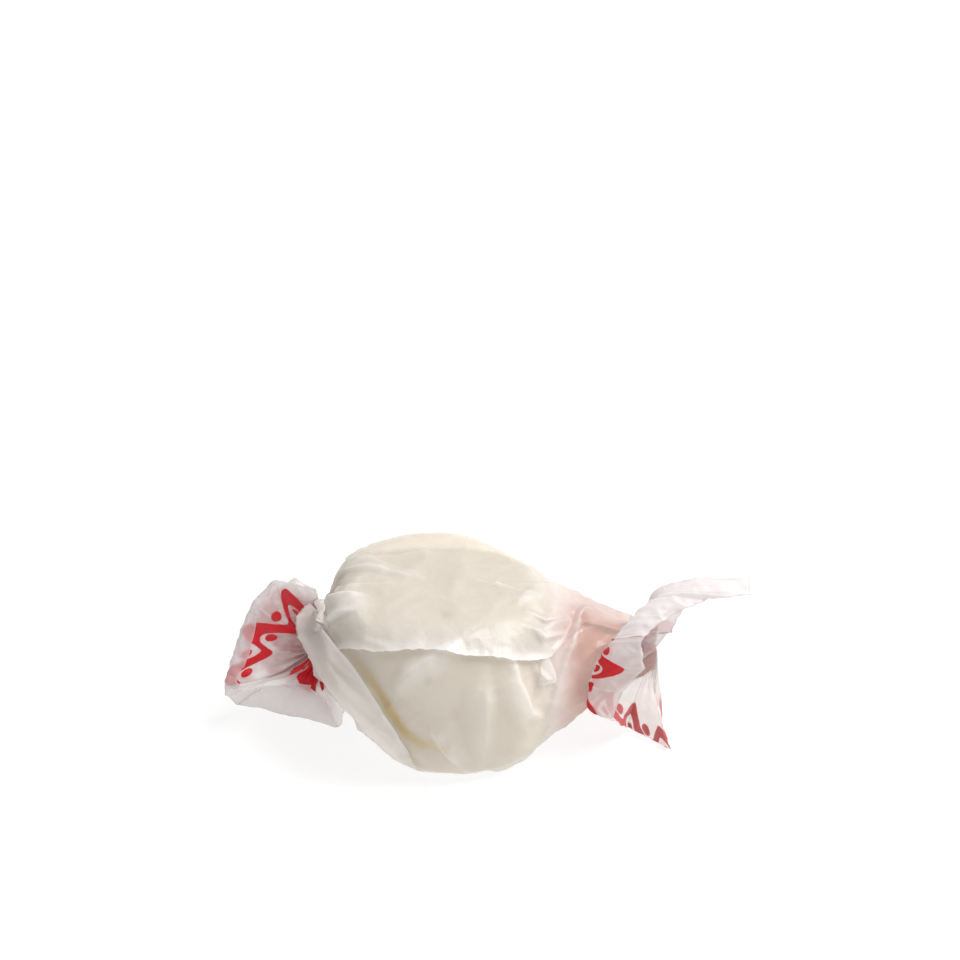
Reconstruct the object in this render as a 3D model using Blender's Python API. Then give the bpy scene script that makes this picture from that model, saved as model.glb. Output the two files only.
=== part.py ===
# A soft pulled taffy in a square of waxed paper, twisted shut at both ends.
# The pack is one closed solid: the wrapped lump, its two pinched necks and the two
# crumpled paper fans. The twist axis runs along X, the lump rests on its flat underside
# at the origin, and the side with the free edge of the paper faces -Y.
# Lengths are in metres and angles in degrees. Angles round the twist axis start at +Y (the
# back) and rise over +Z (the top), so that 180 is the front and 270 the underside.

import math

import bmesh
import bpy
import numpy as np

MM = 0.001

# The lump
AXIS_HEIGHT = 7.0 * MM
SQUARENESS = 8.0
LUMP_FACES = (
    # direction of the face (x, y, z) and its distance from the middle of the lump
    ((1, 0, 0), 10.9 * MM),
    ((-1, 0, 0), 9.5 * MM),
    ((0, 1, 0), 11.3 * MM),
    ((0, -1, 0), 11.2 * MM),
    ((0, 0.06, 1), 7.0 * MM),
    ((0, 0, -1), 7.2 * MM),
    ((-0.72, -0.40, -0.56), 9.9 * MM),
    ((-0.62, -0.70, 0.35), 11.6 * MM),
    ((-0.60, 0.55, 0.58), 12.0 * MM),
    ((0.72, -0.62, 0.30), 12.4 * MM),
    ((0.70, 0.60, 0.38), 11.2 * MM),
    ((0.10, -0.80, 0.60), 11.2 * MM),
    ((0.54, -0.48, -0.69), 13.4 * MM),
)
PROFILE_STEPS = 90

# The paper round the lump
LEFT_NECK = -11.0 * MM
RIGHT_NECK = 19.6 * MM
LEFT_NECK_SIZE = (1.5 * MM, 2.9 * MM)
RIGHT_NECK_SIZE = (1.6 * MM, 1.9 * MM)
ROPE_STEPS = np.array([1.0, 1.8]) * MM
ROPE_TAPER = np.array([0.9, 0.45])
SLACK = 0.06
PAPER = 0.10 * MM
LAP_START = 47
LAP_RISE = 8
LEDGE = 0.35 * MM
# The outer edge of the sheet: millimetres along the paper, and turn round the axis
FREE_EDGE = (
    (-12.0, 150),
    (-8.5, 146),
    (-3.0, 145),
    (1.0, 146),
    (5.4, 150),
    (9.0, 152),
    (10.8, 150),
    (12.3, 140),
    (14.0, 120),
)
EDGE_TURN = 148
EDGE_STEP = 1.4
EDGE_PULL = 60
# Ridges in the paper: their course in the same measures, height, and width on the left and
# on the right of the course, all lengths in millimetres
CREASES = (
    (((-8.5, 146), (-5.1, 168), (-2.5, 188), (-0.6, 196), (2.3, 202)), 0.65, (3.4, 0.7)),
    (((-10.8, 86), (-12.6, 102), (-13.4, 128), (-12.4, 154), (-8.7, 182)), 1.9, (1.4, 1.6)),
    (((14.4, 80), (12.9, 108), (13.1, 132), (11.5, 158), (10.1, 190)), 0.5, (3.5, 0.7)),
    (((-9.0, 30), (-5.0, 12), (1.0, -8)), 0.5, (2.6, 0.8)),
    (((11.0, 20), (6.0, -6), (2.0, -30)), 0.5, (0.8, 2.6)),
    (((-10.5, 300), (-6.0, 322), (-1.0, 336)), 0.5, (2.4, 0.8)),
    (((-10.0, 62), (-6.0, 70), (-2.5, 84)), 0.45, (0.8, 2.0)),
    (((13.0, 240), (8.0, 226), (4.0, 206)), 0.45, (2.0, 0.8)),
)
CREASE_END = 0.02
# The pleats that the twists gather
PLEATS = 9
PLEAT_DEPTH = 0.16
PLEAT_TURN = 60
LEFT_GATHER = 5.0 * MM
RIGHT_GATHER = 9.0 * MM
GIRTH_RADIUS = 9.5 * MM
AROUND = 60
ALONG = 38
TURN_STEPS = 120
SPAN_STEPS = 12
MERGE = 0.001 * MM

# The fans
FAN_THICKNESS = 0.42 * MM
FLOOR_GAP = 0.30 * MM
NECK_SHARE = 0.7
RAY_STEPS = 7
PANEL_STEPS = 2
PANEL_BULGE = 0.04
PANEL_OVERLAP = 0.17 * MM
# Each fold of a fan runs from the neck through its middle to its tip on the cut edge. It is
# given by its turn round the axis, then how far out along the axis and how far away from
# it the middle and the tip are, in millimetres.
LEFT_FOLDS = (
    (90, (-0.3, 3.8), (-0.3, 6.4)),
    (80, (1.9, 3.6), (3.4, 6.8)),
    (84, (3.0, 2.6), (5.4, 5.0)),
    (180, (4.6, 0.6), (7.4, 1.0)),
    (262, (4.6, 1.8), (8.1, 3.4)),
    (276, (3.8, 3.6), (7.2, 6.6)),
    (262, (1.6, 3.8), (3.0, 6.7)),
    (246, (-0.9, 4.6), (-2.2, 7.2)),
    (285, (0.0, 3.8), (-0.4, 6.0)),
    (310, (2.0, 3.6), (3.2, 7.0)),
    (345, (3.4, 2.6), (6.3, 5.2)),
    (20, (3.2, 2.6), (5.2, 4.8)),
    (62, (1.2, 3.4), (1.8, 6.4)),
)
RIGHT_FOLDS = (
    (90, (0.6, 6.8), (8.3, 7.6)),
    (108, (-0.8, 6.7), (4.4, 7.1)),
    (122, (-2.4, 6.4), (1.2, 7.4)),
    (140, (-4.2, 5.9), (-1.5, 8.0)),
    (158, (-5.3, 5.6), (-1.2, 8.2)),
    (176, (-5.9, 5.6), (-3.1, 7.6)),
    (192, (-6.0, 6.0), (-4.0, 8.6)),
    (243, (-1.6, 4.4), (-2.3, 7.2)),
    (226, (0.2, 5.2), (1.4, 9.2)),
    (262, (0.6, 3.8), (0.6, 6.6)),
    (300, (-0.4, 4.2), (-0.6, 7.0)),
    (345, (0.2, 3.8), (0.6, 6.2)),
    (20, (0.6, 3.8), (1.8, 6.6)),
    (60, (0.8, 4.4), (5.6, 5.6)),
)

PAPER_COLOUR = (0.86, 0.80, 0.74, 1.0)


def clear_scene():
    for thing in list(bpy.data.objects):
        bpy.data.objects.remove(thing)


def waxed_paper():
    """The one material of the pack: cream candy seen through waxed paper."""
    material = bpy.data.materials.new("waxed_paper")
    material.use_nodes = True
    shader = material.node_tree.nodes["Principled BSDF"]
    shader.inputs["Base Color"].default_value = PAPER_COLOUR
    shader.inputs["Roughness"].default_value = 0.45
    shader.inputs["Metallic"].default_value = 0.0
    return material


def lump_reach(directions):
    """Distance from the lump's middle to its surface: its faces, blended into each other."""
    total = np.zeros(len(directions))
    for face, distance in LUMP_FACES:
        normal = np.array(face) / np.linalg.norm(face)
        total += np.maximum(directions @ normal / distance, 0) ** SQUARENESS
    return total ** (-1 / SQUARENESS)


def neck_radius(size, angle):
    """Radius of an oval neck at an angle round the twist axis."""
    return 1 / math.hypot(math.cos(angle) / size[0], math.sin(angle) / size[1])


def lump_profile(angle):
    """Half outline of the lump, as x and distance from the axis, in the plane at an angle."""
    swing = np.linspace(math.pi, 0, PROFILE_STEPS)
    directions = np.stack(
        [np.cos(swing), np.sin(swing) * math.cos(angle), np.sin(swing) * math.sin(angle)],
        axis=1,
    )
    reach = lump_reach(directions)
    return np.stack([reach * np.cos(swing), reach * np.sin(swing)], axis=1)


def taut_profile(angle):
    """The shortest paper path from neck to neck over the lump, in the plane at an angle."""
    ends = (
        (LEFT_NECK, neck_radius(LEFT_NECK_SIZE, angle)),
        (RIGHT_NECK, neck_radius(RIGHT_NECK_SIZE, angle)),
    )
    taut = [np.array(ends[0])]
    for point in [*lump_profile(angle), np.array(ends[1])]:
        while len(taut) > 1 and turns_left(taut[-2], taut[-1], point):
            taut.pop()
        taut.append(point)
    return np.array(taut)


def turns_left(first, second, third):
    ahead, beyond = second - first, third - second
    return ahead[0] * beyond[1] - ahead[1] * beyond[0] >= 0


def slack_profile(angle):
    """The taut path with its two free spans drawn in a little by the twist."""
    taut = taut_profile(angle)
    steps = np.linspace(0, 1, SPAN_STEPS)[:, None]
    spans = []
    for start, end in ((taut[0], taut[1]), (taut[-2], taut[-1])):
        span = start + (end - start) * steps
        span[:, 1] *= 1 - SLACK * (4 * steps * (1 - steps))[:, 0]
        spans.append(span)
    return np.concatenate([spans[0], taut[2:-2], spans[1]])


def paper_path(angle):
    """The paper's path at an angle: points evenly spaced from neck to neck, the outward
    direction at each, and how far each lies along the paper from the lump's middle."""
    path = slack_profile(angle)
    strides = np.linalg.norm(np.diff(path, axis=0), axis=1)
    length = np.concatenate([[0], np.cumsum(strides)])
    wanted = np.linspace(0, length[-1], ALONG)
    points = np.stack([np.interp(wanted, length, path[:, i]) for i in (0, 1)], axis=1)
    ahead = np.gradient(points, axis=0)
    outward = np.stack([-ahead[:, 1], ahead[:, 0]], axis=1)
    outward /= np.linalg.norm(outward, axis=1, keepdims=True)
    middle = np.interp(0, path[:, 0], length)
    return np.column_stack([points, outward, wanted - middle])


def paper_paths():
    """The paper's path at even turns round the axis, the first one again at the end."""
    turns = [2 * math.pi * i / TURN_STEPS for i in range(TURN_STEPS + 1)]
    return np.array([paper_path(angle) for angle in turns])


def bare_paper(paths, degrees):
    """Points, outward directions and places along the paper, at one turn for each row."""
    place = (degrees % 360) / 360 * TURN_STEPS
    low = np.floor(place).astype(int)
    share = (place - low)[:, None]
    rows = np.arange(ALONG)
    return paths[low, rows] * (1 - share) + paths[low + 1, rows] * share


def column_turns(column, along):
    """The turns of one column of the grid, which bends so that two columns hug the edge."""
    even = 360 * column / AROUND
    edge = free_edge(along)
    nearest = round(EDGE_TURN / 360 * AROUND)
    if column in (nearest, nearest + 1):
        return edge + (column - nearest - 0.5) * EDGE_STEP
    pull = max(0, 1 - abs(even - EDGE_TURN) / EDGE_PULL)
    return even + (edge - EDGE_TURN) * pull


def free_edge(along):
    """The turn round the axis at which the outer edge of the paper lies."""
    places, turns = zip(*FREE_EDGE)
    return np.interp(along / MM, places, turns)


def on_girth(degrees):
    """A turn round the axis as millimetres round the girth of the pack."""
    return np.radians(degrees) * GIRTH_RADIUS / MM


def beside_course(here, course):
    """Of points of the paper: their distance from a course, whether they lie on its left, and
    how far down the course its nearest point is, from 0 to 1."""
    legs = len(course) - 1
    distance = np.full(here.shape[1], np.inf)
    left = np.zeros(here.shape[1], dtype=bool)
    down = np.zeros(here.shape[1])
    for leg in range(legs):
        ahead = course[leg + 1] - course[leg]
        offset = here - course[leg][:, None]
        share = np.clip(ahead @ offset / (ahead @ ahead), 0, 1)
        gap = offset - ahead[:, None] * share
        closer = np.hypot(*gap) < distance
        distance = np.where(closer, np.hypot(*gap), distance)
        left = np.where(closer, ahead[0] * gap[1] > ahead[1] * gap[0], left)
        down = np.where(closer, (leg + share) / legs, down)
    return distance, left, down


def ridge_height(along, degrees, crease):
    """Height of one ridge, steeper on one side than on the other and lower at its ends."""
    course, rise, widths = crease
    places, turns = np.array(course, dtype=float).T
    middle = turns.mean()
    near = (degrees - middle + 180) % 360 - 180 + middle
    here = np.stack([along / MM, on_girth(near)])
    distance, left, down = beside_course(here, np.column_stack([places, on_girth(turns)]))
    width = np.where(left, widths[0], widths[1])
    fade = np.sqrt(np.sin(math.pi * np.clip(down, CREASE_END, 1 - CREASE_END)))
    return rise * MM * fade * np.maximum(0, 1 - distance / width)


def crease_height(along, degrees):
    """Height of the creases that stand over the paper."""
    return np.max([ridge_height(along, degrees, crease) for crease in CREASES], axis=0)


def layers(along, degrees):
    """Height of the paper over the lump: one layer, and two where the paper overlaps."""
    rise = np.clip((degrees - LAP_START) / LAP_RISE, 0, 1)
    return PAPER + LEDGE * rise * (degrees < free_edge(along))


def gathers(along, degrees):
    """Depth of the pleats that run into the two necks and wind round them."""
    left = 1 - (along - along[0]) / LEFT_GATHER
    right = 1 - (along[-1] - along) / RIGHT_GATHER
    near = np.clip(np.maximum(left, right), 0, 1)
    phase = np.radians(degrees + PLEAT_TURN * near) * PLEATS / 2
    return PLEAT_DEPTH * near * np.abs(np.sin(phase))


def wrapped_column(paths, column):
    """One column of points on the outside of the wrapped lump, with the ropes' ends."""
    even = np.full(ALONG, 360 * column / AROUND)
    along = bare_paper(paths, even)[:, 4]
    degrees = column_turns(column, along)
    bare = bare_paper(paths, degrees)
    relief = layers(along, degrees) + crease_height(along, degrees)
    x = bare[:, 0] + bare[:, 2] * relief
    radius = (bare[:, 1] + bare[:, 3] * relief) * (1 - gathers(along, degrees))
    x = np.concatenate([x[0] - ROPE_STEPS[::-1], x, x[-1] + ROPE_STEPS])
    radius = np.concatenate([radius[0] * ROPE_TAPER[::-1], radius, radius[-1] * ROPE_TAPER])
    angle = np.radians(np.pad(degrees, len(ROPE_STEPS), mode="edge"))
    height = np.maximum(AXIS_HEIGHT + radius * np.sin(angle), 0)
    return np.stack([x, radius * np.cos(angle), height], axis=1)


def wrapped_lump():
    """The lump in its paper: a grid rolled round the axis, closed along its seam and ends."""
    paths = paper_paths()
    columns = [wrapped_column(paths, column) for column in range(AROUND)]
    rows = len(columns[0])
    shape = bmesh.new()
    bmesh.ops.create_grid(shape, x_segments=rows - 1, y_segments=AROUND, size=0.5)
    for corner in shape.verts:
        row = round((corner.co.x + 0.5) * (rows - 1))
        column = round((corner.co.y + 0.5) * AROUND)
        corner.co = columns[column % AROUND][row]
    bmesh.ops.remove_doubles(shape, verts=shape.verts, dist=MERGE)
    bmesh.ops.holes_fill(shape, edges=shape.edges, sides=AROUND)
    return object_from("wrapped_taffy", shape)


def object_from(name, shape):
    bmesh.ops.recalc_face_normals(shape, faces=shape.faces)
    bmesh.ops.triangulate(shape, faces=shape.faces)
    mesh = bpy.data.meshes.new(name)
    shape.to_mesh(mesh)
    shape.free()
    thing = bpy.data.objects.new(name, mesh)
    bpy.context.scene.collection.objects.link(thing)
    return thing


def fold_ray(neck, size, outward, start_turn, fold):
    """Points along one fold of a fan, from the neck to the cut edge of the paper."""
    turn, middle, tip = fold
    swing = (turn - start_turn + 180) % 360 - 180
    begin = np.array([0.0, neck_radius(size, math.radians(start_turn)) * NECK_SHARE])
    middle, tip = np.array(middle) * MM, np.array(tip) * MM
    bend = 2 * middle - (begin + tip) / 2
    points = []
    for step in range(RAY_STEPS):
        t = step / (RAY_STEPS - 1)
        out, away = begin * (1 - t) ** 2 + bend * 2 * t * (1 - t) + tip * t**2
        angle = math.radians(start_turn + swing * math.sin(min(1, 2 * t) * math.pi / 2))
        y = away * math.cos(angle)
        z = AXIS_HEIGHT + away * math.sin(angle)
        points.append((neck + outward * out, y, max(z, FLOOR_GAP)))
    return np.array(points)


def fan_rays(neck, size, outward, folds):
    """The folds of one fan, which leave the neck at even steps round it."""
    first = folds[0][0]
    return [
        fold_ray(neck, size, outward, first + 360 * i / len(folds), fold)
        for i, fold in enumerate(folds)
    ]


def fan_panel(name, first, second):
    """A thin closed slab between two neighbouring folds, a little past both of them."""
    width = np.linalg.norm(second - first, axis=1, keepdims=True)
    side = (second - first) / width
    normal = np.cross(side, np.gradient(first + second, axis=0))
    normal /= np.linalg.norm(normal, axis=1, keepdims=True)
    first = first - side * PANEL_OVERLAP
    second = second + side * PANEL_OVERLAP
    shape = bmesh.new()
    bmesh.ops.create_grid(shape, x_segments=PANEL_STEPS, y_segments=RAY_STEPS - 1, size=0.5)
    for corner in shape.verts:
        across = corner.co.x + 0.5
        step = round((corner.co.y + 0.5) * (RAY_STEPS - 1))
        bulge = normal[step] * width[step] * PANEL_BULGE * 4 * across * (1 - across)
        middle = first[step] * (1 - across) + second[step] * across + bulge
        corner.co = middle - normal[step] * FAN_THICKNESS / 2
    bmesh.ops.recalc_face_normals(shape, faces=shape.faces)
    bmesh.ops.solidify(shape, geom=shape.faces, thickness=FAN_THICKNESS)
    return object_from(name, shape)


def fan_panels(name, neck, size, outward, folds):
    """The slabs of one fan, a ring of panels that closes on itself."""
    rays = fan_rays(neck, size, outward, folds)
    return [
        fan_panel(f"{name}_{i}", rays[i], rays[(i + 1) % len(rays)]) for i in range(len(rays))
    ]


def join_all(base, others):
    """One solid from the base and the others, by one Boolean union on a collection."""
    group = bpy.data.collections.new("joined")
    for thing in others:
        group.objects.link(thing)
    union = base.modifiers.new("union", "BOOLEAN")
    union.operation = "UNION"
    union.operand_type = "COLLECTION"
    union.collection = group
    union.solver = "MANIFOLD"
    graph = bpy.context.evaluated_depsgraph_get()
    joined = bpy.data.meshes.new_from_object(base.evaluated_get(graph))
    base.modifiers.clear()
    base.data = joined
    shape = bmesh.new()
    shape.from_mesh(joined)
    bmesh.ops.triangulate(shape, faces=shape.faces)
    shape.to_mesh(joined)
    shape.free()
    for thing in others:
        bpy.data.objects.remove(thing)
    bpy.data.collections.remove(group)


clear_scene()
pack = wrapped_lump()
left_panels = fan_panels("left", LEFT_NECK, LEFT_NECK_SIZE, -1, LEFT_FOLDS)
right_panels = fan_panels("right", RIGHT_NECK, RIGHT_NECK_SIZE, 1, RIGHT_FOLDS)
join_all(pack, left_panels + right_panels)
pack.data.materials.clear()
pack.data.materials.append(waxed_paper())
pack.data.shade_smooth()
pack.data.set_sharp_from_angle(angle=math.radians(35))
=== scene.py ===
import math

import bmesh
import bpy
import numpy as np
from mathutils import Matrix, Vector, noise


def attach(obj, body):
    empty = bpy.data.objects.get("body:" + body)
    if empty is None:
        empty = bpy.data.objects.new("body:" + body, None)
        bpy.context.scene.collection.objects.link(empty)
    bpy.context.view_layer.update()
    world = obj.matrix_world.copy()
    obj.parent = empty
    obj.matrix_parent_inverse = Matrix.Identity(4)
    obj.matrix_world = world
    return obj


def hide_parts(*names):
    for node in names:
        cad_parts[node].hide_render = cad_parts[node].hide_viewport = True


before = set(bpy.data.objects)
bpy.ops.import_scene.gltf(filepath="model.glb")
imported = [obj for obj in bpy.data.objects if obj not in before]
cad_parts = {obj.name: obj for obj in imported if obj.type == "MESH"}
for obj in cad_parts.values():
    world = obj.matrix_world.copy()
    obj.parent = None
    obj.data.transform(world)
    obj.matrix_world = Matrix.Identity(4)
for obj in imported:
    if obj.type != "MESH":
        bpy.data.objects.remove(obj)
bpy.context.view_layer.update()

MM = 0.001

# The candy: a lump of pulled taffy cut from a rope while warm, then pressed by its neighbours
# until soft flats ran into each other. One closed ball of faces is pushed out to those flats,
# and its matt cream body shows through the paper.
AXIS_HEIGHT = 7.0 * MM
SQUARENESS = 8.0
CANDY_FLATS = (
    # direction of the flat (x, y, z) and its distance from the middle of the candy
    ((1, 0, 0), 10.9 * MM),
    ((-1, 0, 0), 9.5 * MM),
    ((0, 1, 0), 11.3 * MM),
    ((0, -1, 0), 11.2 * MM),
    ((0, 0.06, 1), 7.0 * MM),
    ((0, 0, -1), 7.2 * MM),
    ((-0.72, -0.40, -0.56), 9.9 * MM),
    ((-0.62, -0.70, 0.35), 11.6 * MM),
    ((-0.60, 0.55, 0.58), 12.0 * MM),
    ((0.72, -0.62, 0.30), 12.4 * MM),
    ((0.70, 0.60, 0.38), 11.2 * MM),
    ((0.10, -0.80, 0.60), 11.2 * MM),
    ((0.54, -0.48, -0.69), 13.4 * MM),
)
CANDY_FLOOR = 0.09 * MM
CANDY_DIMPLE = 0.05 * MM
DIMPLE_SIZE = 2.2 * MM
BALL_CUTS = 7
# Its clouds and streaks, in waves a metre, and how deep the streaks go into its skin
CANDY_CLOUDS = 180.0
CANDY_STREAKS = 700.0
CANDY_SKIN = 0.04 * MM
CANDY_ROUGHNESS = 0.5
CANDY_CREAM = (0.83, 0.755, 0.65, 1.0)
CANDY_PALE = (0.89, 0.83, 0.74, 1.0)


class Wire:
    """An output of a material's nodes. Sums with it add Math nodes; make adds any other."""

    def __init__(self, tree, socket=None):
        self.tree = tree
        self.socket = socket

    def make(self, kind, inputs, output=0, **settings):
        node = self.tree.nodes.new(kind)
        for name, value in settings.items():
            setattr(node, name, value)
        for name, value in inputs.items():
            if isinstance(value, Wire):
                self.tree.links.new(value.socket, node.inputs[name])
            else:
                node.inputs[name].default_value = value
        return Wire(self.tree, node.outputs[output] if node.outputs else None)

    def sum(self, operation, first, second=0.0):
        return self.make("ShaderNodeMath", {0: first, 1: second}, operation=operation)

    def __add__(self, other):
        return self.sum("ADD", self, other)

    def __radd__(self, other):
        return self.sum("ADD", other, self)

    def __sub__(self, other):
        return self.sum("SUBTRACT", self, other)

    def __rsub__(self, other):
        return self.sum("SUBTRACT", other, self)

    def __mul__(self, other):
        return self.sum("MULTIPLY", self, other)

    def __rmul__(self, other):
        return self.sum("MULTIPLY", other, self)

    def __abs__(self):
        return self.sum("ABSOLUTE", self)

    def mark(self, name):
        """A number that the mesh carries at each of its corners, under a name."""
        return self.make("ShaderNodeAttribute", {}, output="Fac", attribute_name=name)

    def pingpong(self, height):
        """Rises from 0 to the height and falls back to 0, again and again."""
        return self.sum("PINGPONG", self, height)

    def sine(self):
        return self.sum("SINE", self)

    def lesser(self, other):
        return self.sum("MINIMUM", self, other)

    def greater(self, other):
        return self.sum("MAXIMUM", self, other)

    def rise(self, low, high):
        """0 below low and 1 above high, with a smooth step between them."""
        return self.make(
            "ShaderNodeMapRange",
            {"Value": self, "From Min": low, "From Max": high},
            interpolation_type="SMOOTHSTEP",
        )

    def tint(self, bare, full):
        """The bare colour where this is 0, and the full one where it is 1."""
        return self.make("ShaderNodeMix", {0: self, 6: bare, 7: full}, output=2, data_type="RGBA")

    def grain(self, scale, detail=3.0, roughness=0.55):
        """Cloudy noise from about 0 to 1, read at this place, in waves a metre."""
        inputs = {"Vector": self, "Scale": scale, "Detail": detail, "Roughness": roughness}
        return self.make("ShaderNodeTexNoise", inputs)

    def facets(self, scale):
        """Crumpled facets read at this place: 0 in the creases between them."""
        inputs = {"Vector": self, "Scale": scale}
        return self.make("ShaderNodeTexVoronoi", inputs, feature="DISTANCE_TO_EDGE")


def new_material(name):
    """An empty material and the wire that its nodes are made from."""
    material = bpy.data.materials.new(name)
    material.use_nodes = True
    material.node_tree.nodes.clear()
    return material, Wire(material.node_tree)


def candy_material():
    material, start = new_material("pulled_taffy")
    place = start.make("ShaderNodeTexCoord", {}, output="Object")
    cloud = place.grain(CANDY_CLOUDS)
    streaks = place.grain(CANDY_STREAKS, detail=4.0)
    colour = (cloud * 0.7 + streaks * 0.3).rise(0.35, 0.65).tint(CANDY_CREAM, CANDY_PALE)
    skin = {"Strength": 0.3, "Distance": CANDY_SKIN, "Height": streaks}
    surface = start.make(
        "ShaderNodeBsdfPrincipled",
        {
            "Base Color": colour,
            "Roughness": CANDY_ROUGHNESS + 0.15 * cloud,
            "Normal": start.make("ShaderNodeBump", skin),
        },
    )
    start.make("ShaderNodeOutputMaterial", {"Surface": surface})
    return material


def lump_reach(directions):
    """Distance from the candy's middle to its surface: its flats, blended into each other."""
    total = np.zeros(len(directions))
    for flat, distance in CANDY_FLATS:
        normal = np.array(flat) / np.linalg.norm(flat)
        total += np.maximum(directions @ normal / distance, 0) ** SQUARENESS
    return total ** (-1 / SQUARENESS)


def new_piece(name, shape, materials):
    """An object at the origin, shaded smooth, from a finished bmesh."""
    mesh = bpy.data.meshes.new(name)
    shape.to_mesh(mesh)
    shape.free()
    mesh.shade_smooth()
    for material in materials:
        mesh.materials.append(material)
    piece = bpy.data.objects.new(name, mesh)
    bpy.context.scene.collection.objects.link(piece)
    return piece


def candy_shape():
    shape = bmesh.new()
    bmesh.ops.create_icosphere(shape, subdivisions=BALL_CUTS, radius=1.0)
    directions = np.array([corner.co.normalized() for corner in shape.verts])
    reach = lump_reach(directions)
    for corner, direction, distance in zip(shape.verts, directions, reach):
        spot = Vector(direction * distance)
        dimple = noise.noise(spot / DIMPLE_SIZE) * CANDY_DIMPLE
        spot *= 1 + (dimple - CANDY_DIMPLE) / distance
        corner.co = (spot.x, spot.y, max(spot.z + AXIS_HEIGHT, CANDY_FLOOR))
    bmesh.ops.recalc_face_normals(shape, faces=shape.faces)
    return shape


candy = new_piece("candy", candy_shape(), [candy_material()])
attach(candy, "root")
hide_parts("wrapped_taffy")

# The paper: one square of thin waxed paper, wound round the candy a turn and a quarter. It
# clings where it touches, stands off in taut spans towards the two twists, and its outer
# edge lies along the front of the top. It is one surface: a grid laid on that path.
LEFT_NECK = -11.0 * MM
RIGHT_NECK = 19.6 * MM
LEFT_NECK_SIZE = (1.5 * MM, 2.9 * MM)
RIGHT_NECK_SIZE = (1.6 * MM, 1.9 * MM)
SLACK = 0.06
CLING = 0.10 * MM
CLOSEST = 0.04 * MM
PAPER_FLOOR = 0.03 * MM
# Turns are in degrees round the axis, from the back over the top: where the sheet starts,
# how long before that its outer end begins to rise over it, over how many degrees it rises,
# and where its free edge lies on average
LAP_START = 47
LAP_EARLY = 14
LAP_RAMP = 20
EDGE_MIDDLE = 148
LAP_LIFT = 0.20 * MM
EDGE_CURL = 0.30 * MM
CURL_TURN = 7
# How far round the girth from the free edge, in millimetres, the paper is whiter: partly its
# curled, lifted lip and partly a painted sheen
RIM_SHEEN_REACH = 2.2
# How ragged the free edge is: sizes in millimetres, each with its swing in degrees
EDGE_RAGGED = ((3.1, 2.2), (0.55, 0.7))
RAGGED_SEED = 3.3
FREE_EDGE = (
    # millimetres along the paper, and turn round the axis
    (-12.0, 150),
    (-8.5, 146),
    (-3.0, 145),
    (1.0, 146),
    (5.4, 150),
    (9.0, 152),
    (10.8, 150),
    (12.3, 140),
    (14.0, 120),
)
# Creases: course in the same measures, height, width on the left and on the right of the
# course, all lengths in millimetres, and how white the wax has cracked along the crest
CREASES = (
    (((-10.8, 86), (-12.6, 102), (-13.4, 128), (-12.4, 154), (-8.7, 182)), 1.9, (1.4, 1.6), 0.3),
    (((14.4, 80), (13.4, 108), (13.2, 141), (12.3, 159), (10.5, 198)), 0.55, (0.6, 3.4), 0.9),
    (((-9.0, 30), (-5.0, 12), (1.0, -8)), 0.5, (2.6, 0.8), 0.5),
    (((11.0, 20), (6.0, -6), (2.0, -30)), 0.5, (0.8, 2.6), 0.5),
    (((-10.5, 300), (-6.0, 322), (-1.0, 336)), 0.5, (2.4, 0.8), 0.5),
    (((-10.0, 62), (-6.0, 70), (-2.5, 84)), 0.45, (0.8, 2.0), 0.4),
    (((13.0, 240), (8.0, 226), (4.0, 206)), 0.45, (2.0, 0.8), 0.4),
    (((2.4, 140), (-0.2, 149), (-2.4, 157), (-3.6, 168)), 0.8, (1.0, 2.6), 0.35),
    (((-0.3, 184), (0.5, 193), (1.7, 201), (3.0, 209)), 0.6, (0.4, 2.4), 0.6),
    (((7.0, 150), (7.3, 162), (8.0, 171), (8.4, 181), (10.2, 190)), 0.9, (2.6, 0.5), 0.8),
    (((4.4, 156), (4.5, 180), (4.0, 206)), 0.5, (3.0, 1.2), 0.0),
    (((-12.6, 108), (-9.0, 104), (-6.5, 106)), 0.5, (0.9, 0.4), 0.5),
    (((-13.2, 130), (-9.5, 124), (-7.5, 121)), 0.55, (0.4, 1.1), 0.5),
    (((11.6, 120), (9.9, 126), (8.2, 121)), 0.3, (0.6, 0.4), 0.7),
    (((12.4, 133), (10.0, 138), (8.4, 131)), 0.35, (0.5, 0.7), 0.7),
    (((9.2, 158), (10.2, 165), (9.4, 174)), 0.35, (0.4, 0.6), 0.7),
)
CREASE_END = 0.02
CREASE_SHARPNESS = 1.3
CREST_WIDTH = 0.2
# The gutter beside the long pleat, whose paper is painted a darker yellow as shade: its course,
# its half width and how far it sinks
GUTTER = (
    (-7.3, 152), (-6.0, 160), (-4.8, 169), (-3.8, 178), (-2.8, 187), (-1.4, 193), (0.9, 194),
)
GUTTER_WIDTH = 0.62
GUTTER_DEPTH = 0.07
GUTTER_END = 0.05
# A loose billow of paper over the left shoulder: middle along the paper and round the axis,
# its reach and its height, in millimetres and degrees
BILLOW = (-9.0, 118, 4.0, 0.5)
# Oily spots on the paper: place along it and round the axis, and radius in millimetres
SPOTS = ((1.7, 177, 0.55), (6.5, 156, 0.4), (1.0, 126, 0.6), (-0.6, 160, 0.4), (6.0, 32, 0.5))
SPOT_SHARPNESS = 4
# Crumpled panels of the paper: their size and depth in millimetres, and a shift of the pattern
PAPER_PANELS = ((4.6, 0.6, 1.0), (1.9, 0.22, 5.0))
PANEL_LIFT = 0.12 * MM
# The middle of the candy along the paper, how far its flat reaches from there, in millimetres,
# and how much of the crumpling is left where the paper lies flat on it
FLAT_MIDDLE = 1.0
FLAT_REACH = 7.0
FLAT_CRUMPLED = 0.45
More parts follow.
